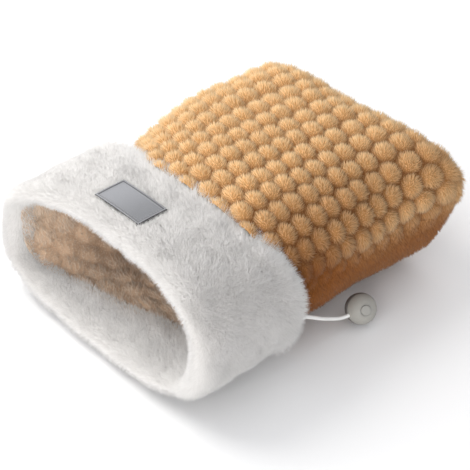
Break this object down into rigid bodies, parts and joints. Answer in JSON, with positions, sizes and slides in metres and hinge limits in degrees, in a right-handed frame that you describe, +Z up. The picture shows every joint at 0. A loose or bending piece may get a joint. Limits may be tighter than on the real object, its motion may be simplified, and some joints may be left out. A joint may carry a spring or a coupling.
{
  "type": "hand warmer muff",
  "caption": "Soft heated hand warmer pouch with a thick fur cuff round one wide mouth, a plush body and a ball-shaped push-button control on a short lead.",
  "frame": {"origin": "on the surface it rests on, under the middle of the pouch's bounding box, without the lead and the control", "axes": "+Z up, the mouth faces -Y, +Y towards the closed back, +X the side the lead comes out of"},
  "size_m": [0.2458, 0.28, 0.11],
  "materials": {
    "tan_plush": "knitted bubble plush, short dense pile",
    "tan_lining": "short pile lining",
    "white_fur": "dense white imitation fur, about 8 mm pile",
    "wadding": "polyester fibre wadding",
    "heater_sheet": "thin non-woven sheet",
    "heating_wire": "silicone-sheathed heating wire",
    "cutout_case": "moulded case",
    "splice_sleeve": "shrunk sleeve",
    "lead_sheath": "light grey flexible sheath, semi-matt",
    "grommet_rubber": "moulded strain relief",
    "grey_label": "woven satin label with a raised border, blank",
    "label_thread": "stitched thread",
    "grey_plastic": "fine matt moulding",
    "dark_grey_plastic": "fine matt moulding",
    "button_plastic": "fine matt moulding",
    "light_guide": "translucent",
    "circuit_board": "solder-masked board",
    "switch_case": "moulded",
    "plated_metal": "plated"
  },
  "bodies": {
    "pouch": {"body_top_panel": "tan_plush", "body_base_panel": "tan_plush", "top_wadding": "wadding", "base_wadding": "wadding", "top_lining": "tan_lining", "base_lining": "tan_lining", "cuff_outer_band": "white_fur", "cuff_wadding": "wadding", "cuff_inner_facing": "white_fur", "heater_carrier": "heater_sheet", "heater_cover": "heater_sheet", "heating_wire": "heating_wire", "thermal_cutout": "cutout_case", "splice_sleeve": "splice_sleeve", "inner_lead": "lead_sheath", "lead_exit_grommet": "grommet_rubber", "label_patch": "grey_label", "label_stitching": "label_thread", "control_lead": "lead_sheath", "lead_crimp": "plated_metal", "control_rear_shell": "dark_grey_plastic", "control_front_shell": "grey_plastic", "indicator_ring": "light_guide", "circuit_board": "circuit_board", "tactile_switch": "switch_case", "power_socket": "plated_metal", "control_screws": "plated_metal"},
    "button": {"control_button": "button_plastic"}
  },
  "joints": [
    {"name": "button_press", "type": "slide", "parent": "pouch", "child": "button", "axis": [-0.7686, 0.3584, -0.5299], "range_m": [0, 0.0006], "stiffness_N_per_m": 1500}
  ]
}
